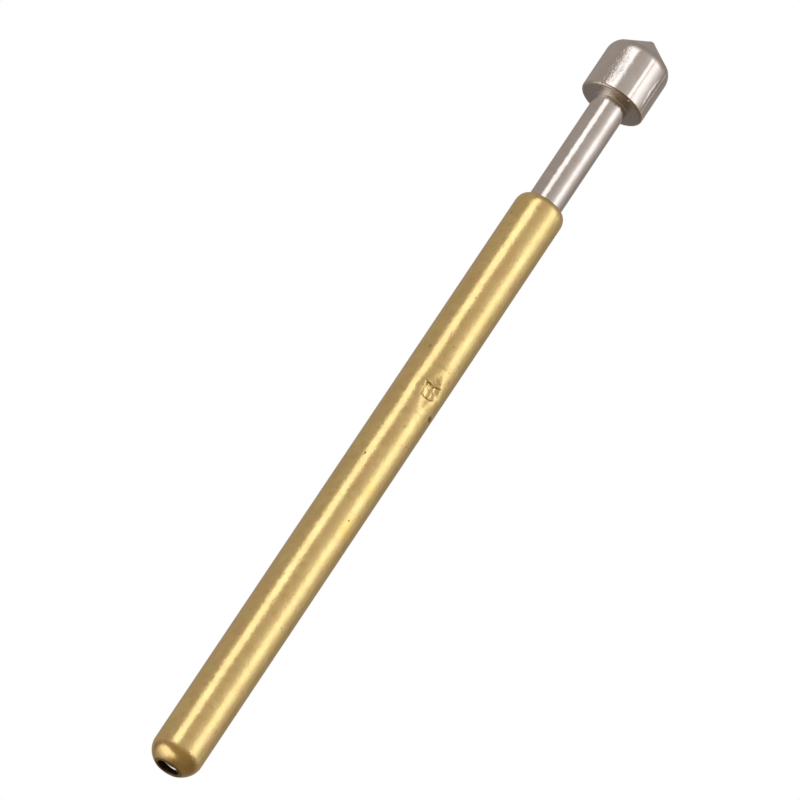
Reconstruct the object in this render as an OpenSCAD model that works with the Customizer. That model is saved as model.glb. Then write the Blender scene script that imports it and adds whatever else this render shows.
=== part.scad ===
// Spring-loaded contact probe, also called a pogo pin.
// A drawn barrel holds a compression spring and a turned plunger with a large pointed head.
// Two opposed dents, punched into the barrel's wall, reach into the plunger's relief neck and keep
// it in. Pushing the head drives the plunger down the bore and squeezes the spring on the tail.
// Millimetres. +Z runs along the axis from the tail to the point, and z = 0 is the tail's end.

/* [Barrel] */
// Outside diameter of the barrel
barrel_d = 1.02; // [0.98:0.01:1.06]
// Length of the barrel, from the tail to the mouth
barrel_len = 13.61; // [13.45:0.01:14.1]
// Diameter of the bore that guides the plunger
bore_d = 0.73; // [0.73:0.005:0.76]
// Height of the half ellipse that closes the tail
dome_h = 0.442; // [0.4:0.002:0.5]
// Diameter of the vent hole in the tail
vent_d = 0.43; // [0.36:0.01:0.46]
// Radius of the rounded edge of the vent hole
vent_round = 0.04; // [0.02:0.005:0.05]
// Thickness of the tail's floor, which the spring stands on
floor_t = 0.10; // [0.09:0.005:0.13]
// Length of the rounded lip at the mouth
mouth_round = 0.235; // [0.15:0.005:0.35]

/* [Retaining dents] */
// Height of the dents' centre above the tail
dent_z = 8.98; // [8.8:0.01:9.2]
// Length of a dent's floor along the barrel
dent_len = 0.235; // [0.18:0.005:0.28]
// Width of a dent's floor across the barrel
dent_w = 0.36; // [0.28:0.01:0.38]
// Angle by which the square punch was turned
dent_turn = 9; // [0:1:12]
// Depth of a dent's floor below the barrel's surface
dent_depth = 0.075; // [0.05:0.005:0.09]
// How far the wall bulges into the bore behind a dent
bump_h = 0.085; // [0.06:0.005:0.09]

/* [Plunger] */
// Diameter of the plunger's sliding lands
plunger_d = 0.70; // [0.67:0.005:0.71]
// Diameter of the head
head_d = 1.33; // [1.1:0.005:1.4]
// Height of the head's flat underside above the tail, with the plunger out
head_z = 16.12; // [16.06:0.01:16.6]
// Length of the head, from its underside to the rim of its cone
head_len = 1.05; // [0.8:0.01:1.3]
// Full angle of the pointed end
point_angle = 101.5; // [80:0.5:120]
// Radius of the head's lower rim
head_rim_r = 0.06; // [0.03:0.01:0.12]
// Radius of the blend between the head's side and its cone
head_shoulder_r = 0.28; // [0.05:0.01:0.3]
// Radius of the tip
tip_r = 0.10; // [0.02:0.01:0.14]
// Radius of the fillet under the head
root_r = 0.025; // [0.02:0.005:0.08]
// Diameter of the relief neck that the dents reach into
neck_d = 0.50; // [0.44:0.01:0.52]
// Length of the rear collar
collar_len = 0.90; // [0.7:0.05:1.1]
// Diameter of the pilot that centres the spring
pilot_d = 0.34; // [0.26:0.01:0.36]
// Length of the pilot
pilot_len = 0.75; // [0.5:0.05:1]

/* [Spring] */
// Diameter of the spring's wire
wire_d = 0.11; // [0.09:0.005:0.12]
// Outside diameter of the spring
spring_d = 0.62; // [0.6:0.005:0.64]
// Number of turns, with the closed ones
turns = 36; // [24:1:38]
// Number of closed turns at each end
closed_turns = 1.5; // [1:0.25:3]
// Angle at which the wire starts, seen from the point
start_angle = 20; // [0:5:355]

/* [Travel] */
// How far the plunger can be pushed in
travel = 2.4; // [2:0.05:2.4]

/* [Hidden] */

barrel_r = barrel_d / 2;
bore_r = bore_d / 2;
vent_r = vent_d / 2;
plunger_r = plunger_d / 2;
head_r = head_d / 2;
neck_r = neck_d / 2;
pilot_r = pilot_d / 2;
wire_r = wire_d / 2;
coil_r = spring_d / 2 - wire_r;

turned_fn = 96;                            // facets round a turned surface, before it is made exact
arc_steps = 10;                            // straight steps in a rounded part of an outline
eps = 0.002;                               // gap left where two pieces only rest on each other
chamfer = 0.03;                            // chamfer on the plunger's hidden edges
vent_round_end = 298;                      // where the vent's round edge runs into the dome, in degrees
mouth_edge = 0.01;                         // broken edge between the mouth's round and the bore
floor_corner = 0.14;                       // radius in the corner of the bore's floor
dome_foot_r = vent_r + vent_round * (1 + cos(vent_round_end));      // where the dome starts
dome_foot = acos(dome_foot_r / barrel_r);  // angle on the dome's ellipse at that place
dome_z = vent_round * (1 + sin(vent_round_end)) + dome_h * sin(dome_foot); // the dome's centre

bump_ball = 0.2;                           // radius of the ball that forms a bump in the bore
bump_cover = 0.07;                         // depth below the outside at which a bump's solid stops
sink_r = 1.6;                              // radius of the shallow hollow that surrounds a dent
sink_depth = 0.03;                         // depth of that hollow at the dent
dent_draft = 0.6;                          // how much a dent widens, per side, for its depth
bump_top_y = bore_r - bump_h;              // distance from the axis to the top of a bump
bump_half = sqrt(pow(bump_ball, 2) - pow(bump_top_y + bump_ball - plunger_r, 2));

collar_top = dent_z - bump_half - 0.02;    // the collar stops just under the bumps
collar_bottom = collar_top - collar_len;
neck_top = dent_z + bump_half + travel + 0.1;
cone_h = head_r / tan(point_angle / 2);    // height of the cone if it ended in a sharp point

spring_z0 = floor_t + eps + wire_r;        // centre of the wire at the tail
spring_z1 = collar_bottom - eps - wire_r;  // centre of the wire under the collar
closed_pitch = wire_d + 0.006;
open_pitch = (spring_z1 - spring_z0 - 2 * closed_turns * closed_pitch) / (turns - 2 * closed_turns);
rings_per_turn = 16;
wire_sides = 8;

// Points on an arc of an ellipse, from angle a to angle b.
function arc(cx, cz, rx, rz, a, b) =
    [for (i = [0:arc_steps]) let (t = a + (b - a) * i / arc_steps) [cx + rx * cos(t), cz + rz * sin(t)]];

// The barrel's half section: up the outside from the vent to the mouth, then down the bore.
function barrel_outline() = concat(
    arc(vent_r + vent_round, vent_round, vent_round, vent_round, 180, vent_round_end),
    arc(0, dome_z, barrel_r, dome_h, -dome_foot, 0),
    arc(bore_r + mouth_edge, barrel_len - mouth_round, barrel_r - bore_r - mouth_edge, mouth_round, 0, 90),
    [[bore_r, barrel_len - mouth_edge]],
    arc(bore_r - floor_corner, floor_t + floor_corner, floor_corner, floor_corner, 0, -90),
    [[vent_r, floor_t]]
);

// The hollow that a square punch leaves: two crossed wedges, and a wide shallow dish round them.
module dent_cut() {
    floor_y = barrel_r - dent_depth;
    open_y = barrel_r + 0.1;
    flare = (open_y - floor_y) * dent_draft;
    translate([0, 0, dent_z])
        rotate([0, dent_turn, 0])
            intersection() {
                translate([0, 0, -barrel_r])
                    linear_extrude(barrel_d)
                        polygon([[-dent_w / 2, floor_y], [dent_w / 2, floor_y],
                                 [dent_w / 2 + flare, open_y], [-dent_w / 2 - flare, open_y]]);
                translate([-barrel_r, 0, 0])
                    rotate([90, 0, 90])
                        linear_extrude(barrel_d)
                            polygon([[floor_y, -dent_len / 2], [floor_y, dent_len / 2],
                                     [open_y, dent_len / 2 + flare], [open_y, -dent_len / 2 - flare]]);
            }
    translate([0, barrel_r - sink_depth + sink_r, dent_z])
        rotate([0, 90, 0])
            cylinder(r = sink_r, h = barrel_d, center = true, $fn = turned_fn);
}

// The wall pushed into the bore behind a dent, with a rounded top.
module dent_bump() {
    intersection() {
        translate([0, bump_top_y + bump_ball, dent_z])
            sphere(r = bump_ball, $fn = turned_fn);
        translate([0, 0, dent_z - bump_ball])
            cylinder(r = barrel_r - bump_cover, h = 2 * bump_ball, $fn = turned_fn);
    }
}

// One drawn tube with a domed tail, a vent, a rolled mouth and two opposed dents.
module barrel() {
    color([0.80, 0.66, 0.36])
        difference() {
            union() {
                rotate_extrude($fn = turned_fn)
                    polygon(barrel_outline());
                for (side = [0, 180])
                    rotate([0, 0, side])
                        dent_bump();
            }
            for (side = [0, 180])
                rotate([0, 0, side])
                    dent_cut();
        }
}

// The plunger's half section, from the pilot's end up to the tip.
function plunger_outline() =
    let (
        half = point_angle / 2,
        // where the shoulder's arc is centred, so that it meets the side and the cone smoothly
        rim_z = head_z + head_len,
        shoulder_z = rim_z - head_shoulder_r * tan((90 - half) / 2),
        apex_z = rim_z + cone_h,
        tip_z = apex_z - tip_r / sin(half)
    )
    concat(
        [[0, collar_bottom - pilot_len],
         [pilot_r / 2, collar_bottom - pilot_len],
         [pilot_r, collar_bottom - pilot_len / 2],
         [pilot_r, collar_bottom],
         [plunger_r - chamfer, collar_bottom],
         [plunger_r, collar_bottom + chamfer],
         [plunger_r, collar_top - chamfer],
         [plunger_r - chamfer, collar_top],
         [neck_r, collar_top],
         [neck_r, neck_top],
         [plunger_r, neck_top + plunger_r - neck_r]],
        arc(plunger_r + root_r, head_z - root_r, root_r, root_r, 180, 90),
        arc(head_r - head_rim_r, head_z + head_rim_r, head_rim_r, head_rim_r, -90, 0),
        arc(head_r - head_shoulder_r, shoulder_z, head_shoulder_r, head_shoulder_r, 0, 90 - half),
        arc(0, tip_z, tip_r, tip_r, 90 - half, 90)
    );

// One turned pin: pilot, collar, relief neck, sliding land and pointed head.
module plunger() {
    color([0.70, 0.67, 0.66])
        rotate_extrude($fn = turned_fn)
            polygon(plunger_outline());
}

// Height of the wire's centre after t turns: closed at both ends and open between them.
function wire_z(t) =
    t < closed_turns ? spring_z0 + t * closed_pitch :
    t > turns - closed_turns ? spring_z1 - (turns - t) * closed_pitch :
    spring_z0 + closed_turns * closed_pitch + (t - closed_turns) * open_pitch;

// One ring of points round the wire, in the plane through the axis.
function wire_ring(t) =
    let (a = start_angle + 360 * t)
    [for (k = [0:wire_sides - 1])
        let (r = coil_r + wire_r * cos(360 * k / wire_sides))
        [r * cos(a), r * sin(a), wire_z(t) + wire_r * sin(360 * k / wire_sides)]];

// One coiled wire, wound right-handed, swept as a closed tube with flat cut ends.
module spring() {
    last = turns * rings_per_turn;
    points = [for (i = [0:last]) each wire_ring(i / rings_per_turn)];
    side_faces = [for (i = [0:last - 1], k = [0:wire_sides - 1])
        let (a = i * wire_sides + k, b = i * wire_sides + (k + 1) % wire_sides)
        each [[a, b, b + wire_sides], [a, b + wire_sides, a + wire_sides]]];
    start_cap = [for (k = [wire_sides - 1:-1:0]) k];
    end_cap = [for (k = [0:wire_sides - 1]) last * wire_sides + k];
    color([0.62, 0.62, 0.64])
        polyhedron(points, concat(side_faces, [start_cap, end_cap]), convexity = 10);
}

barrel();
plunger();
spring();
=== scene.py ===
"""Looks of a spring-loaded contact probe (pogo pin): gold-plated barrel, bright plunger, spring."""
import math

import bpy
from mathutils import Matrix, Vector, noise


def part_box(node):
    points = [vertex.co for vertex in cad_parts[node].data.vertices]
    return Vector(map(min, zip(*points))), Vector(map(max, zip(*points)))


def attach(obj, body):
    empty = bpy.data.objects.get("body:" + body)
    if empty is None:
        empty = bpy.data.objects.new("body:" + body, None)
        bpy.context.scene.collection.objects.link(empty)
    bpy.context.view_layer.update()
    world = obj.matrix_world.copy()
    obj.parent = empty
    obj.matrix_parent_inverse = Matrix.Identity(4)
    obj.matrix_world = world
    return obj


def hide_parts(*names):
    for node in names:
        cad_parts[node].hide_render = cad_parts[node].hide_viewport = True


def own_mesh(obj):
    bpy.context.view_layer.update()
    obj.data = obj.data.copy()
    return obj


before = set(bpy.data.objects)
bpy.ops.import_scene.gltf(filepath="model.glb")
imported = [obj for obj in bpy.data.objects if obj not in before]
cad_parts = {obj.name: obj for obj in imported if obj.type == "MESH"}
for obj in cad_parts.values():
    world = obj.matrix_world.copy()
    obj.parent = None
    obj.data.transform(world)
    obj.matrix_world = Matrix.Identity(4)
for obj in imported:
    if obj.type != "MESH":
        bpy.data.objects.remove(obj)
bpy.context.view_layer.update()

MM = 0.001
UM = 0.000001

# ---- sizes in millimetres: from the frame's own boxes, and sections that they can't give ----
_, barrel_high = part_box("barrel")
plunger_low, plunger_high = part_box("plunger")
spring_low, spring_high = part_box("spring")

BARREL_R = barrel_high.x / MM
BARREL_TOP = barrel_high.z / MM
BORE_R = 0.365
VENT_R = 0.215
VENT_ROUND = 0.04
VENT_ROUND_END = 298        # where the vent's rounded edge meets the dome, in degrees
VENT_INNER_ROWS = 3         # the first rows of that edge take the bore's near-black metal, as painted shade
DOME_H = 0.442
FLOOR_T = 0.10
FLOOR_CORNER = 0.14
MOUTH_ROUND = 0.215
MOUTH_EDGE = 0.01
MOUTH_WEAR = 0.012          # the crimped edge, worn down a little

# the two dents: a punched pocket each
DENT_Z = 8.98
DENT_DEPTH = 0.080          # the pocket's floor, below the round surface
DENT_HALF_W = 0.182         # half the pocket's width, where its walls meet the surface
DENT_HALF_L = 0.155         # half its length
DENT_SIDE_WALL = 0.07       # how far its side walls reach in from its edge
DENT_END_WALL = 0.018       # and its upper and lower walls
DENT_TILT = 0.10            # its floor's slope across the barrel
DENT_TURN = 9               # how far the punch was turned, in degrees
DIP_DEPTH = 0.045           # its upper edge dips by this
DIP_AT = 0.03               # this far across from its middle
DIP_WIDTH = 0.075
WANDER_SIDE = 0.016         # how far its side edges wander
WANDER_END = 0.034          # and its upper and lower edges
WANDER_SIZE = 0.10          # over lumps of this size
CRUMPLE = 0.012             # its floor's larger lumps
CRUMPLE_W = 0.075
CRUMPLE_L = 0.085
CREASE = 0.002              # and the finer ones
CREASE_SIZE = 0.032
# and the wall drawn in round each pocket
SINK_LEN = 0.37             # how far above and below the pocket's middle
SINK_ANGLE = 26             # and how far round the barrel, in degrees
SINK_RIDGE = 6              # how far round its middle line is soft, in degrees
SINK_SLOPE_UP = 0.16        # how steeply it falls to the pocket from above
SINK_SLOPE_DOWN = 0.18      # and from below
SINK_BLEND_UP = 0.006       # how softly it starts above
SINK_BLEND_DOWN = 0.012     # and below
DISH_DEPTH = 0.014          # a wide soft hollow round it all
DISH_SPREAD = 0.24
DENT_ZONE = 0.5             # half the length of barrel that gets the fine rows
# and the bump behind it, inside the bore
BUMP_H = 0.085              # how far it reaches into the bore
BUMP_BALL = 0.2             # the radius of its round top

PLUNGER_R = 0.35
HEAD_R = plunger_high.x / MM
HEAD_TOP = plunger_high.z / MM
HEAD_Z = 16.12
POINT_HALF = 50.75          # half the angle of the point, in degrees
HEAD_RIM_R = 0.06
HEAD_SHOULDER_R = 0.34
TIP_R = 0.10
ROOT_R = 0.025
NECK_R = 0.25
NECK_SPARE = 0.1            # the neck's length beyond the bumps at full travel
COLLAR_LEN = 0.90
PILOT_R = 0.17
PILOT_LEN = 0.75
PILOT_END = plunger_low.z / MM
CHAMFER = 0.03

WIRE_R = 0.055
COIL_R = 0.255
TURNS = 36
CLOSED_TURNS = 1.5
CLOSED_GAP = 0.006          # between two turns at its ends
CLOSED_PITCH = 2 * WIRE_R + CLOSED_GAP
START_ANGLE = 20            # where the wire starts, in degrees
SPRING_FOOT = spring_low.z / MM
SPRING_HEAD = spring_high.z / MM
TRAVEL = 2.4

# ---- how finely each stretch is divided ----
SHARP_ANGLE = 32            # edges sharper than this many degrees stay sharp
VENT_STEPS = 8
DOME_STEPS = 28
LOWER_STEPS = 24            # the barrel's wall below the dents' rows
DENT_STEPS = 140
UPPER_STEPS = 14            # and above them
MOUTH_STEPS = 16
BORE_STEPS = 8
BUMP_STEPS = 20
DENT_COLUMN = 0.8           # degrees between columns near a dent
DENT_COLUMNS_TO = 34        # degrees from a dent's middle
BARREL_COLUMN = 2.0         # degrees between columns elsewhere
PLUNGER_COLUMNS = 192
LAND_STEPS = 12
ROOT_STEPS = 8
HEAD_STEPS = 6
RIM_STEPS = 12
SHOULDER_STEPS = 18
TIP_STEPS = 10
WIRE_SIDES = 14
RINGS_PER_TURN = 48

# ---- camera: it looks up at the part, and the part lies on the picture's diagonal ----
CAMERA_AZIMUTH = -21.5
CAMERA_ELEVATION = -22.0
CAMERA_ROLL = 33.78
CAMERA_DISTANCE = 191.0
FOCAL_PX = 10182.0
FRAME_PX = 800
SENSOR = 36.0
CLIP_START = 0.01           # metres
CLIP_END = 10
AIM_Z = 8.20                # the height on the axis that it aims near
AIM_UP = 0.4354             # and how far above that point, square to the view
AIM_RIGHT = -0.214          # and to its right


def unit(azimuth, elevation):
    """The direction at an azimuth from -Y towards +X, and an elevation, both in degrees."""
    a, e = math.radians(azimuth), math.radians(elevation)
    return Vector((math.sin(a) * math.cos(e), -math.cos(a) * math.cos(e), math.sin(e)))


def smooth(x, low, high):
    """A soft step: 0 below low, 1 above high."""
    t = min(1.0, max(0.0, (x - low) / (high - low)))
    return t * t * (3 - 2 * t)


def soft_positive(x, blend):
    """x where it is above 0, and 0 below, with a soft bend between."""
    return blend * math.log1p(math.exp(x / blend))


# ---- meshes ----
def arc(cx, cz, rx, rz, start, end, steps):
    """Points on an arc of an ellipse, from one angle to another, in degrees."""
    points = []
    for i in range(steps + 1):
        t = math.radians(start + (end - start) * i / steps)
        points.append((cx + rx * math.cos(t), cz + rz * math.sin(t)))
    return points


def straight(r0, z0, r1, z1, steps):
    """Points between two ends, without the ends."""
    return [(r0 + (r1 - r0) * i / steps, z0 + (z1 - z0) * i / steps) for i in range(1, steps)]


def make(name, vertices, faces):
    """A mesh object, smooth but for its sharp edges."""
    mesh = bpy.data.meshes.new(name)
    mesh.from_pydata(vertices, [], faces)
    mesh.validate()
    mesh.shade_smooth()
    mesh.set_sharp_from_angle(angle=math.radians(SHARP_ANGLE))
    piece = bpy.data.objects.new(name, mesh)
    bpy.context.scene.collection.objects.link(piece)
    return piece


def lathe(name, rows, angles, ring=False, radius_at=None):
    """A turned mesh from (radius, height) rows. ring joins the last row to the first.
    radius_at(row, radius, height, angle) gives a point's own radius."""
    vertices, faces, index = [], [], []
    count = len(angles)
    for k, (r, z) in enumerate(rows):
        start = len(vertices)
        if r == 0:
            index.append([start] * count)
            vertices.append((0, 0, z * MM))
            continue
        index.append([start + j for j in range(count)])
        for a in angles:
            own = radius_at(k, r, z, a) if radius_at else r
            vertices.append((own * math.cos(a) * MM, own * math.sin(a) * MM, z * MM))
    pairs = list(zip(index, index[1:]))
    if ring:
        pairs.append((index[-1], index[0]))
    for low, high in pairs:
        for j in range(count):
            n = (j + 1) % count
            # next to a point on the axis, a corner comes twice and the face is a triangle
            face = list(dict.fromkeys([low[j], low[n], high[n], high[j]]))
            if len(face) > 2:
                faces.append(face)
    return make(name, vertices, faces)


# which of the noise's patterns each use takes
SIDE_PATTERN = 3.7
END_PATTERN = 6.1
CRUMPLE_PATTERN = 8.2
CREASE_PATTERN = 1.9


def lumps(a, b, pattern):
    """Smooth noise from -1 to 1 over a plane, its lumps about 1 across."""
    return noise.noise(Vector((a, b, pattern)))


def drawn_in(dz, turn):
    """How far the wall is drawn in round a pocket: one slope above it and one below, which both
    run out to a point, and a wide soft hollow."""
    ridge = math.radians(SINK_RIDGE)
    spread = math.sqrt(turn ** 2 + ridge ** 2) - ridge
    reach = SINK_LEN * (1 - spread / math.radians(SINK_ANGLE))
    above = soft_positive(SINK_SLOPE_UP * (reach - dz), SINK_BLEND_UP)
    below = soft_positive(SINK_SLOPE_DOWN * (reach + dz), SINK_BLEND_DOWN)
    away = ((BARREL_R * turn) ** 2 + dz ** 2) / DISH_SPREAD ** 2
    return min(above, below) + DISH_DEPTH * math.exp(-away / 2)


def pocket_share(p, q):
    """1 on a pocket's floor, 0 outside it, and between the two on its walls. p runs across the
    punch from its middle, and q up it."""
    over_p = DENT_HALF_W - abs(p) + WANDER_SIDE * lumps(q / WANDER_SIZE, p, SIDE_PATTERN)
    over_q = DENT_HALF_L - abs(q) + WANDER_END * lumps(p / WANDER_SIZE, q, END_PATTERN)
    if q > 0:
        over_q -= DIP_DEPTH * math.exp(-((p - DIP_AT) / DIP_WIDTH) ** 2)
    return min(1.0, max(0.0, over_p / DENT_SIDE_WALL)) * smooth(over_q, 0, DENT_END_WALL)


def dent_depth(dz, turn):
    """How far a punched dent lies below the round surface. dz runs up the barrel from the
    dent's middle, and turn is the angle round the barrel from it, in radians."""
    hollow = drawn_in(dz, turn)
    x = BARREL_R * math.sin(turn)
    t = math.radians(DENT_TURN)
    p = x * math.cos(t) + dz * math.sin(t)
    q = dz * math.cos(t) - x * math.sin(t)
    share = pocket_share(p, q)
    if share == 0:
        return hollow
    # the pocket's floor is flat across the barrel but for its tilt, and crumpled by the punch
    flat = max(hollow, BARREL_R - (BARREL_R - DENT_DEPTH) / math.cos(turn) - DENT_TILT * p)
    crumple = CRUMPLE * lumps(p / CRUMPLE_W, q / CRUMPLE_L, CRUMPLE_PATTERN)
    crumple += CREASE * lumps(p / CREASE_SIZE, q / CREASE_SIZE, CREASE_PATTERN)
    return hollow + (flat + crumple - hollow) * share


def bump_radius(r, z, angle):
    """The bore's radius where a dent's back bulges into it as part of a ball."""
    x, y = r * math.cos(angle), abs(r * math.sin(angle))
    in_ball = BUMP_BALL ** 2 - (z - DENT_Z) ** 2 - x ** 2
    if in_ball <= 0:
        return r
    bump_y = BORE_R - BUMP_H + BUMP_BALL - math.sqrt(in_ball)
    return r - max(0.0, y - bump_y) * abs(math.sin(angle))


def barrel_angles():
    """Even spacing round the barrel, with closer columns over the two dents."""
    fine, coarse = math.radians(DENT_COLUMN), math.radians(BARREL_COLUMN)
    angles, a = [], 0.0
    while a < 2 * math.pi - coarse / 2:
        angles.append(a)
        near = min(abs(a - math.pi / 2), abs(a - 1.5 * math.pi))
        a += fine if near < math.radians(DENT_COLUMNS_TO) else coarse
    return angles


def outer_rows():
    """The barrel's outside, from the vent over the dome and up the wall to the mouth."""
    end = math.radians(VENT_ROUND_END)
    foot_r = VENT_R + VENT_ROUND * (1 + math.cos(end))
    foot = math.degrees(math.acos(foot_r / BARREL_R))
    dome_z = VENT_ROUND * (1 + math.sin(end)) + DOME_H * math.sin(math.radians(foot))
    mouth_z = BARREL_TOP - MOUTH_WEAR - MOUTH_ROUND
    lip_r = BORE_R + MOUTH_EDGE
    rows = arc(VENT_R + VENT_ROUND, VENT_ROUND, VENT_ROUND, VENT_ROUND,
               180, VENT_ROUND_END, VENT_STEPS)
    rows += arc(0, dome_z, BARREL_R, DOME_H, -foot, 0, DOME_STEPS)
    rows += straight(BARREL_R, dome_z, BARREL_R, DENT_Z - DENT_ZONE, LOWER_STEPS)
    for i in range(DENT_STEPS + 1):
        rows.append((BARREL_R, DENT_Z - DENT_ZONE + 2 * DENT_ZONE * i / DENT_STEPS))
    rows += straight(BARREL_R, DENT_Z + DENT_ZONE, BARREL_R, mouth_z, UPPER_STEPS)
    rows += arc(lip_r, mouth_z, BARREL_R - BORE_R - MOUTH_EDGE, MOUTH_ROUND, 0, 90, MOUTH_STEPS)
    return rows


def inner_rows():
    """The bore, from the mouth down to its floor and the vent."""
    lip_z = BARREL_TOP - MOUTH_WEAR - MOUTH_EDGE
    corner_z = FLOOR_T + FLOOR_CORNER
    rows = [(BORE_R, lip_z)]
    rows += straight(BORE_R, lip_z, BORE_R, DENT_Z + BUMP_BALL, BORE_STEPS)
    for i in range(BUMP_STEPS + 1):
        rows.append((BORE_R, DENT_Z + BUMP_BALL - 2 * BUMP_BALL * i / BUMP_STEPS))
    rows += straight(BORE_R, DENT_Z - BUMP_BALL, BORE_R, corner_z, BORE_STEPS)
    rows += arc(BORE_R - FLOOR_CORNER, corner_z, FLOOR_CORNER, FLOOR_CORNER, 0, -90, BORE_STEPS)
    rows += [(VENT_R, FLOOR_T)]
    return rows


def build_barrel():
    """The drawn tube. Its inside, down to the vent's edge, has the second material, a near-black
    metal that paints the shade inside the bore.
    """
    outside = outer_rows()
    angles = barrel_angles()

    def radius_at(k, r, z, angle):
        if abs(z - DENT_Z) >= DENT_ZONE:
            return r
        if k >= len(outside):
            return bump_radius(r, z, angle)
        middle = math.pi / 2 if angle < math.pi else 1.5 * math.pi
        return r - dent_depth(z - DENT_Z, angle - middle)

    piece = lathe("barrel_tube", outside + inner_rows(), angles, ring=True, radius_at=radius_at)
    for polygon in piece.data.polygons:
        row = polygon.index // len(angles)
        # the bore and the vent's inner rows get the near-black metal that paints their shade
        if row >= len(outside) or row < VENT_INNER_ROWS:
            polygon.material_index = 1
    return piece


def build_plunger():
    """The turned pin: pilot, collar, relief neck, sliding land and pointed head."""
    bump_top = BORE_R - BUMP_H
    bump_half = math.sqrt(BUMP_BALL ** 2 - (bump_top + BUMP_BALL - PLUNGER_R) ** 2)
    collar_bottom = PILOT_END + PILOT_LEN
    collar_top = collar_bottom + COLLAR_LEN
    neck_top = DENT_Z + bump_half + TRAVEL + NECK_SPARE
    land_z = neck_top + PLUNGER_R - NECK_R
    half = math.radians(POINT_HALF)
    tip_z = HEAD_TOP - TIP_R
    apex_z = tip_z + TIP_R / math.sin(half)
    cone_z = apex_z - HEAD_R / math.tan(half)
    shoulder_z = cone_z - HEAD_SHOULDER_R * math.tan((math.pi / 2 - half) / 2)
    rim_r, rim_z = HEAD_R - HEAD_RIM_R, HEAD_Z + HEAD_RIM_R
    rows = [(0, PILOT_END), (PILOT_R / 2, PILOT_END), (PILOT_R, PILOT_END + PILOT_LEN / 2),
            (PILOT_R, collar_bottom), (PLUNGER_R - CHAMFER, collar_bottom),
            (PLUNGER_R, collar_bottom + CHAMFER), (PLUNGER_R, collar_top - CHAMFER),
            (PLUNGER_R - CHAMFER, collar_top), (NECK_R, collar_top), (NECK_R, neck_top),
            (PLUNGER_R, land_z)]
    rows += straight(PLUNGER_R, land_z, PLUNGER_R, HEAD_Z - ROOT_R, LAND_STEPS)
    rows += arc(PLUNGER_R + ROOT_R, HEAD_Z - ROOT_R, ROOT_R, ROOT_R, 180, 90, ROOT_STEPS)
    rows += straight(PLUNGER_R + ROOT_R, HEAD_Z, rim_r, HEAD_Z, HEAD_STEPS)
    rows += arc(rim_r, rim_z, HEAD_RIM_R, HEAD_RIM_R, -90, 0, RIM_STEPS)
    rows += straight(HEAD_R, rim_z, HEAD_R, shoulder_z, HEAD_STEPS)
    rows += arc(HEAD_R - HEAD_SHOULDER_R, shoulder_z, HEAD_SHOULDER_R, HEAD_SHOULDER_R,
                0, 90 - POINT_HALF, SHOULDER_STEPS)
    cap = arc(0, tip_z, TIP_R, TIP_R, 90 - POINT_HALF, 90, TIP_STEPS)
    rows += straight(*rows[-1], *cap[0], HEAD_STEPS)
    rows += cap[:-1]
    rows += [(0, HEAD_TOP)]
    angles = [2 * math.pi * j / PLUNGER_COLUMNS for j in range(PLUNGER_COLUMNS)]
    return lathe("plunger_pin", rows, angles)


def wire_height(t, low, high):
    """Height of the wire's middle after t turns: closed at both ends and open between them."""
    closed = CLOSED_TURNS * CLOSED_PITCH
    open_pitch = (high - low - 2 * closed) / (TURNS - 2 * CLOSED_TURNS)
    if t < CLOSED_TURNS:
        return low + t * CLOSED_PITCH
    if t > TURNS - CLOSED_TURNS:
        return high - (TURNS - t) * CLOSED_PITCH
    return low + closed + (t - CLOSED_TURNS) * open_pitch


def build_spring():
    """One round wire coiled right-handed, with flat cut ends."""
    low = SPRING_FOOT + WIRE_R
    high = SPRING_HEAD - WIRE_R
    last = TURNS * RINGS_PER_TURN
    vertices, faces = [], []
    for i in range(last + 1):
        t = i / RINGS_PER_TURN
        a = math.radians(START_ANGLE) + 2 * math.pi * t
        z = wire_height(t, low, high)
        for k in range(WIRE_SIDES):
            b = 2 * math.pi * k / WIRE_SIDES
            r = (COIL_R + WIRE_R * math.cos(b)) * MM
            vertices.append((r * math.cos(a), r * math.sin(a), (z + WIRE_R * math.sin(b)) * MM))
    for i in range(last):
        for k in range(WIRE_SIDES):
            a, b = i * WIRE_SIDES + k, i * WIRE_SIDES + (k + 1) % WIRE_SIDES
            faces.append([a, a + WIRE_SIDES, b + WIRE_SIDES, b])
    faces.append(list(range(WIRE_SIDES)))
    faces.append([last * WIRE_SIDES + k for k in reversed(range(WIRE_SIDES))])
    return make("spring_coil", vertices, faces)


# ---- materials ----
MIX_FACTOR, MIX_A, MIX_B, MIX_RESULT = 0, 6, 7, 2       # the Mix node's sockets for colours
NOISE_ROUGHNESS = 0.55
NOISE_RANGE = (0.3, 0.7)    # most of the noise's values
SPOT_CORE = 0.35            # the share of a spot's radius that is whole


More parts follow.
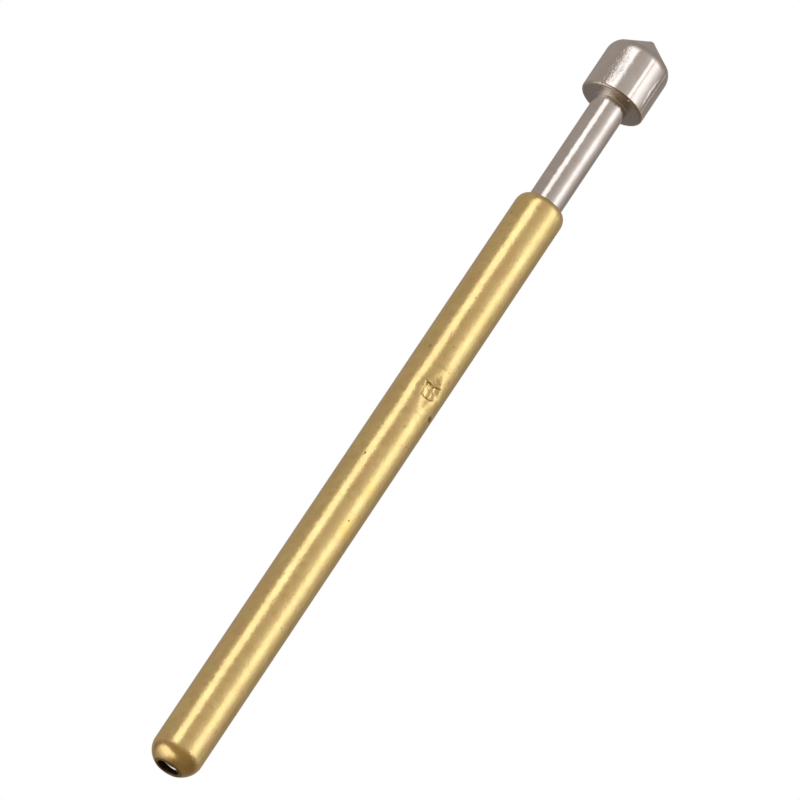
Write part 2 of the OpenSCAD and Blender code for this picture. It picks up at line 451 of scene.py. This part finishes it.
class Nodes:
    """Short calls for building a node tree. Places in it are in metres, as the mesh is."""

    def __init__(self, name):
        self.material = bpy.data.materials.new(name)
        self.material.use_nodes = True
        self.tree = self.material.node_tree
        self.tree.nodes.clear()

    def put(self, node, key, value):
        """Link or set one input."""
        socket = node.inputs[key]
        if isinstance(value, bpy.types.NodeSocket):
            self.tree.links.new(value, socket)
        else:
            socket.default_value = value

    def add(self, kind, settings=None, **inputs):
        """A new node. In the names of its inputs an underscore stands for a space."""
        node = self.tree.nodes.new(kind)
        for key, value in (settings or {}).items():
            setattr(node, key, value)
        for key, value in inputs.items():
            self.put(node, key.replace("_", " "), value)
        return node

    def calc(self, operation, a, b=0.0):
        """One sum, or another operation on two values."""
        node = self.add("ShaderNodeMath", {"operation": operation})
        self.put(node, 0, a)
        self.put(node, 1, b)
        return node.outputs["Value"]

    def chain(self, operation, values):
        """One operation over all the values in turn."""
        result = None
        for value in values:
            result = value if result is None else self.calc(operation, result, value)
        return result

    def place(self):
        """Where a point is on its own piece."""
        return self.add("ShaderNodeTexCoord").outputs["Object"]

    def mapped(self, place, **inputs):
        """A place after a scale or a shift."""
        return self.add("ShaderNodeMapping", Vector=place, **inputs).outputs["Vector"]

    def dot(self, place, direction):
        """How far a place lies along a direction."""
        node = self.add("ShaderNodeVectorMath", {"operation": "DOT_PRODUCT"})
        self.put(node, 0, place)
        self.put(node, 1, direction)
        return node.outputs["Value"]

    def noise(self, place, size_um, detail=2.0):
        """Noise whose lumps are about size_um micrometres across."""
        node = self.add("ShaderNodeTexNoise", Vector=place, Scale=1 / (size_um * UM), Detail=detail,
                        Roughness=NOISE_ROUGHNESS)
        return node.outputs["Fac"]

    def span(self, value, low, high, to_low, to_high):
        """value from low to high becomes to_low to to_high, with soft ends."""
        node = self.add("ShaderNodeMapRange", {"interpolation_type": "SMOOTHSTEP"}, Value=value)
        limits = {"From Min": low, "From Max": high, "To Min": to_low, "To Max": to_high}
        for key, number in limits.items():
            self.put(node, key, number)
        return node.outputs["Result"]

    def between(self, value, rise, fall):
        """1 between two soft edges: where it rises from and to, then falls from and to, in mm."""
        risen = self.span(value, rise[0] * MM, rise[1] * MM, 0, 1)
        left = self.span(value, fall[0] * MM, fall[1] * MM, 1, 0)
        return self.calc("MULTIPLY", risen, left)

    def blend(self, factor, a, b):
        """Colour a where factor is 0, and b where it is 1."""
        node = self.add("ShaderNodeMix", {"data_type": "RGBA"})
        for key, value in ((MIX_FACTOR, factor), (MIX_A, a), (MIX_B, b)):
            self.put(node, key, (*value, 1) if isinstance(value, tuple) else value)
        return node.outputs[MIX_RESULT]

    def layers(self, color, rows):
        """A base colour with others over it: each row has a pattern, the two levels of it that
        count, the share of the row's colour at either level, and that colour."""
        for pattern, low, high, at_low, at_high, tint in rows:
            color = self.blend(self.span(pattern, low, high, at_low, at_high), color, tint)
        return color

    def spot(self, place, azimuth, z, radius, along=1.0, at_r=BARREL_R):
        """1 in a soft round spot, 0 elsewhere. Its middle is at a height z and a distance at_r
        from the axis, azimuth degrees round from the camera's side. along stretches it up."""
        side = unit(azimuth + CAMERA_AZIMUTH, 0) * at_r * MM
        local = self.add("ShaderNodeMapping", {"vector_type": "TEXTURE"}, Vector=place,
                         Location=(side.x, side.y, z * MM), Scale=(1, 1, along))
        length = self.add("ShaderNodeVectorMath", {"operation": "LENGTH"},
                          Vector=local.outputs["Vector"])
        return self.span(length.outputs["Value"], SPOT_CORE * radius * MM, radius * MM, 1.0, 0.0)

    def metal(self, color, rough, height=None, bump_um=0.0):
        """The whole material, bare metal. Where height is 1 it rises by bump_um micrometres."""
        shader = self.add("ShaderNodeBsdfPrincipled", Metallic=1.0, Base_Color=color,
                          Roughness=rough)
        if height is not None:
            bump = self.add("ShaderNodeBump", Height=height, Strength=1.0, Distance=bump_um * UM)
            self.put(shader, "Normal", bump.outputs["Normal"])
        return self.finish(shader)

    def finish(self, shader):
        """End the tree with its shader."""
        self.add("ShaderNodeOutputMaterial", Surface=shader.outputs[0])
        return self.material


# the gold's colours, from its base to its marks
GOLD = (0.90, 0.675, 0.285)
GOLD_PALE = (1.0, 0.785, 0.345)
GOLD_WARM = (0.97, 0.70, 0.315)
GOLD_COOL = (0.91, 0.74, 0.29)
GOLD_DULL = (0.80, 0.60, 0.24)
GOLD_STAINED = (0.97, 0.70, 0.22)
GOLD_PIT_AND_SHADE = (0.16, 0.10, 0.03)
# how it is finished
GOLD_ROUGH = (0.20, 0.27)
GOLD_GRAIN = 0.40           # the grain's height against the mottle's
GOLD_PIT = 0.5              # how deep the darkest marks are against it
GOLD_BUMP_UM = 5.4
GOLD_DRAWN = 0.6            # its patches are longer along the barrel: their noise's scale there
WARM_SHIFT = (0.1, 0.2, 0.3)        # in metres, so that each pattern differs from the others
COOL_SHIFT = (0.5, 0.1, 0.2)
# marks on the barrel: azimuth from the camera's side, height, radius, stretch up the barrel,
# and darkness. The second is painted shade that dims the bright reflection in the hollow below the
# dent.
MARKS = [(63, 8.58, 0.10, 0.8, 0.75), (30, 8.69, 0.17, 1.0, 0.26), (-25, 7.21, 0.030, 1.7, 0.7),
         (47, 7.80, 0.024, 1.0, 0.6), (36, 7.76, 0.020, 1.0, 0.5), (14, 8.07, 0.050, 1.0, 0.25),
         (-38, 9.76, 0.055, 1.1, 0.32), (33, 8.62, 0.018, 1.0, 0.5), (-11, 8.57, 0.018, 1.0, 0.5),
         (-10, 11.04, 0.022, 1.3, 0.5), (-7, 10.76, 0.024, 1.0, 0.6),
         (-59, 13.01, 0.040, 1.2, 0.35), (-11, 10.15, 0.020, 1.0, 0.4), (8, 9.96, 0.020, 1.0, 0.4),
         (29, 5.90, 0.028, 1.2, 0.7), (-25, 4.30, 0.020, 1.0, 0.6), (38, 3.39, 0.022, 1.0, 0.5),
         (150, 4.86, 0.03, 1.0, 0.8), (-140, 6.56, 0.028, 1.2, 0.7), (120, 11.56, 0.024, 1.0, 0.7),
         (-100, 2.06, 0.030, 1.0, 0.6), (175, 7.96, 0.026, 1.3, 0.6),
         # and painted shade along the pocket's lower edge, in its crease
         (21, DENT_Z - DENT_HALF_L + 0.005, 0.18, 0.24, 0.68)]
# stains where the plate is yellower: the same, without the darkness
STAINS = [(35, 5.75, 0.20, 1.6), (31, 6.65, 0.16, 1.4), (160, 10.3, 0.25, 1.5),
          (-120, 4.2, 0.22, 1.7)]
STAIN_SHARE = 0.7
# smaller specks, one in some of the cells that the surface is divided into
SPECK_CELL_UM = 420
SPECK_CHOSEN = (0.45, 0.55) # a cell's random number where it has none, and where it has one
SPECK_SIZE = (0.01, 0.05)   # in cells
SPECK_DARK = 0.35
# painted shade at both ends, a dark ring at the mouth's edge and one round the vent: from where to
# where it grows, and its share there
MOUTH_SHADE_SPAN = (BARREL_TOP - 0.045, BARREL_TOP - MOUTH_WEAR)
MOUTH_SHADE = 0.75
VENT_SHADE_SPAN = (0.006, 0.03)
VENT_SHADE = 0.7


def gold_dark(n, place):
    """Where the gold is dark: marks, some of them painted shade, specks, and painted shade at the
    mouth and round the vent.
    """
    marks = n.chain("MAXIMUM", (n.calc("MULTIPLY", n.spot(place, azimuth, z, radius, along), share)
                                for azimuth, z, radius, along, share in MARKS))
    cells = n.add("ShaderNodeTexVoronoi", Vector=place, Scale=1 / (SPECK_CELL_UM * UM))
    chance = n.add("ShaderNodeSeparateColor", Color=cells.outputs["Color"]).outputs[0]
    chosen = n.span(chance, *SPECK_CHOSEN, 0, 1)
    speck = n.span(cells.outputs["Distance"], *SPECK_SIZE, SPECK_DARK, 0)
    up = n.add("ShaderNodeSeparateXYZ", Vector=place).outputs["Z"]
    # painted shade in a ring at the mouth's edge
    mouth = n.span(up, MOUTH_SHADE_SPAN[0] * MM, MOUTH_SHADE_SPAN[1] * MM, 0, MOUTH_SHADE)
    # painted shade round the vent, at the dome's lowest part
    vent = n.span(up, VENT_SHADE_SPAN[0] * MM, VENT_SHADE_SPAN[1] * MM, VENT_SHADE, 0)
    return n.chain("MAXIMUM", [marks, n.calc("MULTIPLY", speck, chosen), mouth, vent])


def gold():
    """Satin gold plate on a drawn tube: mottled, with small dark pits and yellower stains, and
    painted shade at the mouth, round the vent and at the dent's pocket.
    """
    n = Nodes("gold_plate")
    place = n.place()
    patches = n.noise(n.mapped(place, Scale=(1, 1, GOLD_DRAWN)), size_um=480)
    warmth = n.noise(n.mapped(place, Location=WARM_SHIFT), size_um=330)
    cool = n.noise(n.mapped(place, Location=COOL_SHIFT), size_um=240)
    mottle = n.noise(place, size_um=140, detail=3.0)
    grain = n.noise(place, size_um=45)
    color = n.layers(GOLD, [(patches, 0.34, 0.66, 0, 1, GOLD_PALE),
                            (warmth, 0.40, 0.66, 0, 0.8, GOLD_WARM),
                            (cool, 0.46, 0.66, 0, 0.5, GOLD_COOL),
                            (mottle, 0.30, 0.52, 0.5, 0, GOLD_DULL)])
    stains = n.chain("MAXIMUM", (n.spot(place, *blotches) for blotches in STAINS))
    color = n.blend(n.calc("MULTIPLY", stains, STAIN_SHARE), color, GOLD_STAINED)
    dark = gold_dark(n, place)
    # pits darken it, and so does painted shade at the mouth, the vent and the pocket
    color = n.blend(dark, color, GOLD_PIT_AND_SHADE)
    height = n.calc("ADD", mottle, n.calc("MULTIPLY", grain, GOLD_GRAIN))
    height = n.calc("SUBTRACT", height, n.calc("MULTIPLY", dark, GOLD_PIT))
    return n.metal(color, n.span(mottle, *NOISE_RANGE, *GOLD_ROUGH), height, GOLD_BUMP_UM)


# the bore's near-black colours: painted shade for the inside of the tube
BORE_SHADE_DARK = (0.07, 0.04, 0.025)
BORE_SHADE_LIGHT = (0.15, 0.09, 0.06)
BORE_ROUGH = (0.45, 0.6)


def bore_painted_shade():
    """Painted shade: a near-black, dull metal for the inside of the tube and the first rows of the
    vent's edge.
    """
    n = Nodes("bore_painted_shade")
    blotches = n.noise(n.place(), size_um=90, detail=3.0)
    color = n.layers(BORE_SHADE_DARK, [(blotches, 0.35, 0.65, 0, 1, BORE_SHADE_LIGHT)])
    return n.metal(color, n.span(blotches, *NOISE_RANGE, *BORE_ROUGH))


# the nickel's colours
NICKEL = (0.73, 0.68, 0.62)
NICKEL_PALE = (0.79, 0.745, 0.685)
NICKEL_DULL = (0.66, 0.60, 0.56)
NICKEL_RIM = (0.86, 0.70, 0.50)
NICKEL_STAINED = (0.30, 0.25, 0.21)
NICKEL_UNDER = (0.58, 0.53, 0.51)
NICKEL_MARKED = (0.62, 0.56, 0.51)
# how it is finished
NICKEL_ROUGH = (0.12, 0.18)
NICKEL_GRAIN = 0.15         # the grain's height against the mottle's
NICKEL_BUMP_UM = 3.5
# the head's underside, duller than the rest and with rings from turning: the heights between
# which its finish starts, and those between which it ends
UNDER_RISE = (HEAD_Z - 0.012, HEAD_Z - 0.004)
UNDER_FALL = (HEAD_Z + 0.015, HEAD_Z + 0.03)
UNDER_SHARE = 0.5
UNDER_ROUGH = 0.16
RING_PITCH = 0.055
RING_WANDER = 0.02
RING_HEIGHT = 0.35
# its lower rim: a worn line this high, and how far up and down it fades
RIM_LINE = HEAD_Z + 0.04
RIM_FADE = (0.012, 0.04)
RIM_WORN_AT = (0.40, 0.60)  # it is worn in lumps: the mottle's two levels
RIM_WORN = (0.1, 0.85)      # and how worn it is at each
# a stain on the rim's front: azimuth from the camera's side, height, radius, stretch up
RIM_STAIN = (2, HEAD_Z + 0.028, 0.30, 0.1)
RIM_STAIN_SHARE = 0.85
# where the head's side is marked: azimuth from the camera's side, and width
HEAD_MARKS = [(-33, 0.22), (54, 0.12)]
HEAD_MARKS_Z = 16.6
HEAD_MARKS_ALONG = 4
HEAD_MARKS_SHARE = 0.25
HEAD_MARKS_ROUGH = 0.04
HEAD_MARKS_MOTTLE = 3.5     # how much higher the mottle is there
HEAD_MARKS_GRAIN = 3.0      # and the grain
# grooves along its side: azimuth, width of the left and right slope in mm, and depth against
# the mottle's height
HEAD_LINES = [(21, 0.085, 0.012, 2.8), (55, 0.07, 0.05, 2.4)]
HEAD_LINES_FROM = 0.6       # they are on the head only, past this distance from the axis


def tool_line(n, place, azimuth, left, right, depth):
    """The depth of one groove along the head."""
    across = n.dot(place, unit(azimuth + 90 + CAMERA_AZIMUTH, 0))
    out = n.dot(place, unit(azimuth + CAMERA_AZIMUTH, 0))
    groove = n.between(across, (-left, 0), (0, right))
    on_head = n.calc("GREATER_THAN", out, HEAD_LINES_FROM * MM)
    return n.chain("MULTIPLY", [groove, on_head, depth])


def ring_height(n, place, mottle):
    """Rings round the axis, as a tool leaves them on a turned face."""
    split = n.add("ShaderNodeSeparateXYZ", Vector=place)
    squares = [n.calc("MULTIPLY", split.outputs[key], split.outputs[key]) for key in ("X", "Y")]
    radius = n.calc("SQRT", n.calc("ADD", *squares))
    radius = n.calc("ADD", radius, n.calc("MULTIPLY", mottle, RING_WANDER * MM))
    return n.calc("SINE", n.calc("MULTIPLY", radius, 2 * math.pi / (RING_PITCH * MM)))


def silver():
    """Bright nickel on a turned pin. The head's underside is rough from turning, its near side is
    mottled, and its lower rim is worn to a warmer tint."""
    n = Nodes("nickel_plate")
    place = n.place()
    up = n.add("ShaderNodeSeparateXYZ", Vector=place).outputs["Z"]
    patches = n.noise(place, size_um=420)
    mottle = n.noise(place, size_um=120, detail=3.0)
    grain = n.noise(place, size_um=40)
    under = n.between(up, UNDER_RISE, UNDER_FALL)
    from_rim = n.calc("ABSOLUTE", n.calc("SUBTRACT", up, RIM_LINE * MM))
    rim = n.span(from_rim, RIM_FADE[0] * MM, RIM_FADE[1] * MM, 1, 0)
    worn = n.calc("MULTIPLY", rim, n.span(mottle, *RIM_WORN_AT, *RIM_WORN))
    blotches = n.spot(place, *RIM_STAIN, HEAD_R)
    marked = n.chain("MAXIMUM", (n.spot(place, azimuth, HEAD_MARKS_Z, width, HEAD_MARKS_ALONG,
                                        HEAD_R) for azimuth, width in HEAD_MARKS))
    lines = n.chain("ADD", (tool_line(n, place, *line) for line in HEAD_LINES))

    color = n.layers(NICKEL, [(patches, 0.35, 0.65, 0, 1, NICKEL_PALE),
                              (mottle, 0.30, 0.52, 0.3, 0, NICKEL_DULL)])
    color = n.blend(worn, color, NICKEL_RIM)
    color = n.blend(n.calc("MULTIPLY", blotches, RIM_STAIN_SHARE), color, NICKEL_STAINED)
    color = n.blend(n.calc("MULTIPLY", under, UNDER_SHARE), color, NICKEL_UNDER)
    color = n.blend(n.calc("MULTIPLY", marked, HEAD_MARKS_SHARE), color, NICKEL_MARKED)

    rough = n.chain("ADD", [n.span(mottle, *NOISE_RANGE, *NICKEL_ROUGH),
                            n.calc("MULTIPLY", under, UNDER_ROUGH),
                            n.calc("MULTIPLY", marked, HEAD_MARKS_ROUGH)])

    coarse = n.calc("ADD", 1.0, n.calc("MULTIPLY", marked, HEAD_MARKS_MOTTLE))
    fine = n.calc("ADD", NICKEL_GRAIN, n.calc("MULTIPLY", marked, HEAD_MARKS_GRAIN))
    rings = n.chain("MULTIPLY", [ring_height(n, place, mottle), under, RING_HEIGHT])
    height = n.chain("ADD", [n.calc("MULTIPLY", mottle, coarse), n.calc("MULTIPLY", grain, fine),
                             rings])
    height = n.calc("SUBTRACT", height, lines)
    return n.metal(color, rough, height, NICKEL_BUMP_UM)


WIRE_DULL = (0.62, 0.59, 0.60)
WIRE_BRIGHT = (0.84, 0.81, 0.82)
WIRE_ROUGH = (0.14, 0.24)
WIRE_BUMP_UM = 0.4


def wire():
    """Bright drawn spring wire."""
    n = Nodes("spring_wire")
    mottle = n.noise(n.place(), size_um=60, detail=3.0)
    color = n.blend(mottle, WIRE_DULL, WIRE_BRIGHT)
    return n.metal(color, n.span(mottle, *NOISE_RANGE, *WIRE_ROUGH), mottle, WIRE_BUMP_UM)


# ---- stage ----
# The tent's light, as levels at azimuths from the camera's side and at elevations above the
# horizon, both in degrees. A card's level is the one for its azimuth times the one for its
# elevation.
TENT_R = 600.0              # millimetres
TENT_SEGMENTS = 64
TENT_RINGS = 32
ALL_ROUND = 360             # what azimuths span
TOP_TO_BOTTOM = 180         # what elevations span
# two bright strips, one each side of the camera, and a faint one past the right one
STRIP_LEVEL = 1.0
STRIP_TINT = (1.0, 1.03, 1.11)
STRIP_AZIMUTH = [(-180, 0), (-54, 0), (-48, 1), (-26, 1), (-18, 0), (10, 0.03), (30, 0.19),
                 (42, 0.6), (48, 1), (60, 1), (74, 0.52), (90, 0.15), (101, 0.05), (105, 0.22),
                 (110, 0), (180, 0)]
STRIP_ELEVATION = [(-90, 0), (3, 0), (14, 1), (34, 1), (41, 0.8), (48, 0.38), (58, 0.1), (66, 0),
                   (90, 0)]
# the grey all round
BASE_TINT = (1.0, 0.89, 0.835)
BASE_AZIMUTH = [(-180, 0.34), (-120, 0.38), (-60, 0.40), (0, 0.48), (20, 0.48), (90, 0.37),
                (130, 0.30), (180, 0.34)]
BASE_ELEVATION = [(-90, 0.45), (-12, 0.6), (4, 1), (50, 1), (68, 0.88), (90, 0.8)]
# straight above it
OVERHEAD_LEVEL = 0.32
OVERHEAD_TINT = (1.0, 0.945, 0.91)
OVERHEAD_ELEVATION = [(-90, 0), (56, 0), (76, 1), (90, 1)]
# the brown ground, low on the camera's side and beside the part
GROUND_TINT = (1.0, 0.735, 0.48)
GROUND_LEVEL = [(-180, 0.17), (-110, 0.2), (-60, 0.28), (0, 0.30), (30, 0.25), (60, 0.19),
                (110, 0.17), (180, 0.17)]
GROUND_AZIMUTH = [(-180, 0), (-150, 0), (-120, 1), (128, 1), (162, 0), (180, 0)]
GROUND_ELEVATION = [(-90, 1), (-12, 1), (4, 0), (90, 0)]
# a bright box low on the left, cut off by a slanting plane through the tent's middle
BOX_LEVEL = 1.05
BOX_AZIMUTH = [(-180, 0), (-128, 0.15), (-108, 0.45), (-88, 0.8), (-70, 1), (-32, 1),
               (-10, 0.65), (8, 0.12), (18, 0), (180, 0)]
BOX_ELEVATION = [(-90, 0), (-74, 0.05), (-62, 0.7), (-52, 1), (-26, 1), (-14, 0), (90, 0)]
BOX_EDGE = (-0.168, 0.742, -0.649)      # the plane's direction, towards the box
BOX_EDGE_ANGLE = [(-90, 0), (-5, 0), (9, 1), (90, 1)]       # levels at angles past it

WORLD_LIGHT = 0.8           # the world's level as a light
WORLD_SEEN = 1.0            # and where it is looked at
FLOOR_Z = -0.62             # metres, so that it is below the tent
FLOOR_SIZE = 4
FLOOR_GREY = 0.9
FLOOR_ROUGH = 0.8


def levels(n, angle, whole, stops):
    """Levels that change evenly between stops, each an angle in degrees and a level. angle is
    in radians, and whole is how many degrees it can span."""
    share = n.calc("ADD", n.calc("DIVIDE", angle, math.radians(whole)), 0.5)
    node = n.add("ShaderNodeValToRGB", Fac=share)
    elements = node.color_ramp.elements
    elements.remove(elements[-1])
    for k, (at, level) in enumerate(stops):
        position = at / whole + 0.5
        element = elements[0] if k == 0 else elements.new(position)
        element.position = position
        element.color = (level, level, level, 1)
    return n.add("ShaderNodeRGBToBW", Color=node.outputs["Color"]).outputs["Val"]


def tent_light(n):
    """The tent's light as a shader: its cards' levels, times their tints."""
    reach = TENT_R * MM
    turned = n.add("ShaderNodeVectorRotate", {"rotation_type": "Z_AXIS"}, Vector=n.place(),
                   Angle=math.radians(-CAMERA_AZIMUTH)).outputs["Vector"]
    split = n.add("ShaderNodeSeparateXYZ", Vector=turned)
    towards = n.calc("MULTIPLY", split.outputs["Y"], -1.0)
    azimuth = n.calc("ARCTAN2", split.outputs["X"], towards)
    elevation = n.calc("ARCSINE", n.calc("DIVIDE", split.outputs["Z"], reach))
    slant = n.calc("ARCSINE", n.dot(turned, [x / reach for x in BOX_EDGE]))

    def card(round_it, up_it):
        """The level from one list for the azimuth times the level from one for the elevation."""
        across = levels(n, azimuth, ALL_ROUND, round_it)
        return n.calc("MULTIPLY", across, levels(n, elevation, TOP_TO_BOTTOM, up_it))

    strips = card(STRIP_AZIMUTH, STRIP_ELEVATION)
    box = card(BOX_AZIMUTH, BOX_ELEVATION)
    box = n.calc("MULTIPLY", box, levels(n, slant, TOP_TO_BOTTOM, BOX_EDGE_ANGLE))
    white = n.calc("ADD", n.calc("MULTIPLY", strips, STRIP_LEVEL),
                   n.calc("MULTIPLY", box, BOX_LEVEL))
    ground = card(GROUND_AZIMUTH, GROUND_ELEVATION)
    brown = n.calc("MULTIPLY", ground, levels(n, azimuth, ALL_ROUND, GROUND_LEVEL))
    overhead = levels(n, elevation, TOP_TO_BOTTOM, OVERHEAD_ELEVATION)
    # the grey gives way to the ground and to what is overhead
    clear = n.calc("SUBTRACT", 1.0, n.calc("MAXIMUM", ground, overhead))
    grey = n.calc("MULTIPLY", card(BASE_AZIMUTH, BASE_ELEVATION), clear)
    grey = n.calc("ADD", grey, n.calc("MULTIPLY", overhead, OVERHEAD_LEVEL))
    grey_tint = n.blend(overhead, BASE_TINT, OVERHEAD_TINT)

    cards = [((*STRIP_TINT, 1), white), (grey_tint, grey), ((*GROUND_TINT, 1), brown)]
    total = None
    for tint, strength in cards:
        light = n.add("ShaderNodeEmission", Color=tint, Strength=strength)
        if total is None:
            total = light
            continue
        both = n.add("ShaderNodeAddShader")
        n.put(both, 0, total.outputs[0])
        n.put(both, 1, light.outputs[0])
        total = both
    return total


def tent():
    """A round tent of studio cards that only reflections see."""
    bpy.ops.mesh.primitive_uv_sphere_add(segments=TENT_SEGMENTS, ring_count=TENT_RINGS,
                                         radius=TENT_R * MM)
    ball = bpy.context.object
    ball.name = "studio_tent"
    ball.location = (0, 0, AIM_Z * MM)
    ball.data.shade_smooth()
    ball.visible_camera = False
    ball.visible_diffuse = False
    ball.visible_shadow = False
    n = Nodes("studio_tent")
    ball.data.materials.append(n.finish(tent_light(n)))


def white_world():
    """White where the camera, a reflection or clear glass looks past everything, and a soft grey
    as a light."""
    world = bpy.data.worlds.new("studio")
    bpy.context.scene.world = world
    world.use_nodes = True
    tree = world.node_tree
    tree.nodes.clear()
    path = tree.nodes.new("ShaderNodeLightPath")
    seen = path.outputs["Is Camera Ray"]
    for ray in ("Is Glossy Ray", "Is Transmission Ray"):
        either = tree.nodes.new("ShaderNodeMath")
        either.operation = "MAXIMUM"
        tree.links.new(seen, either.inputs[0])
        tree.links.new(path.outputs[ray], either.inputs[1])
        seen = either.outputs[0]
    mix = tree.nodes.new("ShaderNodeMixShader")
    tree.links.new(seen, mix.inputs[0])
    for socket, strength in ((1, WORLD_LIGHT), (2, WORLD_SEEN)):
        sky = tree.nodes.new("ShaderNodeBackground")
        sky.inputs["Color"].default_value = (1, 1, 1, 1)
        sky.inputs["Strength"].default_value = strength
        tree.links.new(sky.outputs[0], mix.inputs[socket])
    out = tree.nodes.new("ShaderNodeOutputWorld")
    tree.links.new(mix.outputs[0], out.inputs["Surface"])


def floor():
    """A plain pale floor, well below the part."""
    bpy.ops.mesh.primitive_plane_add(size=FLOOR_SIZE, location=(0, 0, FLOOR_Z))
    ground = bpy.context.object
    ground.name = "floor"
    n = Nodes("floor_paper")
    shader = n.add("ShaderNodeBsdfPrincipled", Base_Color=(FLOOR_GREY, FLOOR_GREY, FLOOR_GREY, 1),
                   Roughness=FLOOR_ROUGH)
    ground.data.materials.append(n.finish(shader))


def camera():
    """Looks up at the part from below its middle, rolled so that the part lies on a diagonal."""
    back = unit(CAMERA_AZIMUTH, CAMERA_ELEVATION)
    level_up = (Vector((0, 0, 1)) - back * back.z).normalized()
    level_right = level_up.cross(back)
    roll = math.radians(CAMERA_ROLL)
    right = level_right * math.cos(roll) + level_up * math.sin(roll)
    up = level_up * math.cos(roll) - level_right * math.sin(roll)
    aim = Vector((0, 0, AIM_Z)) + level_up * AIM_UP + level_right * AIM_RIGHT
    data = bpy.data.cameras.new("camera")
    data.sensor_width = SENSOR
    data.lens = FOCAL_PX / FRAME_PX * SENSOR
    data.clip_start = CLIP_START
    data.clip_end = CLIP_END
    cam = bpy.data.objects.new("camera", data)
    bpy.context.scene.collection.objects.link(cam)
    turn = Matrix((right, up, back)).transposed()
    cam.matrix_world = Matrix.Translation((aim + back * CAMERA_DISTANCE) * MM) @ turn.to_4x4()
    bpy.context.scene.camera = cam


# ---- the part ----
barrel = build_barrel()
plunger = build_plunger()
spring = build_spring()
barrel.data.materials.append(gold())
barrel.data.materials.append(bore_painted_shade())
plunger.data.materials.append(silver())
spring.data.materials.append(wire())

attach(barrel, "barrel_body")
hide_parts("barrel")
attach(plunger, "plunger_body")
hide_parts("plunger")
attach(spring, "barrel_body")
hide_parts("spring")
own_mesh(spring)

white_world()
tent()
floor()
camera()
bpy.context.scene.view_settings.view_transform = "Standard"
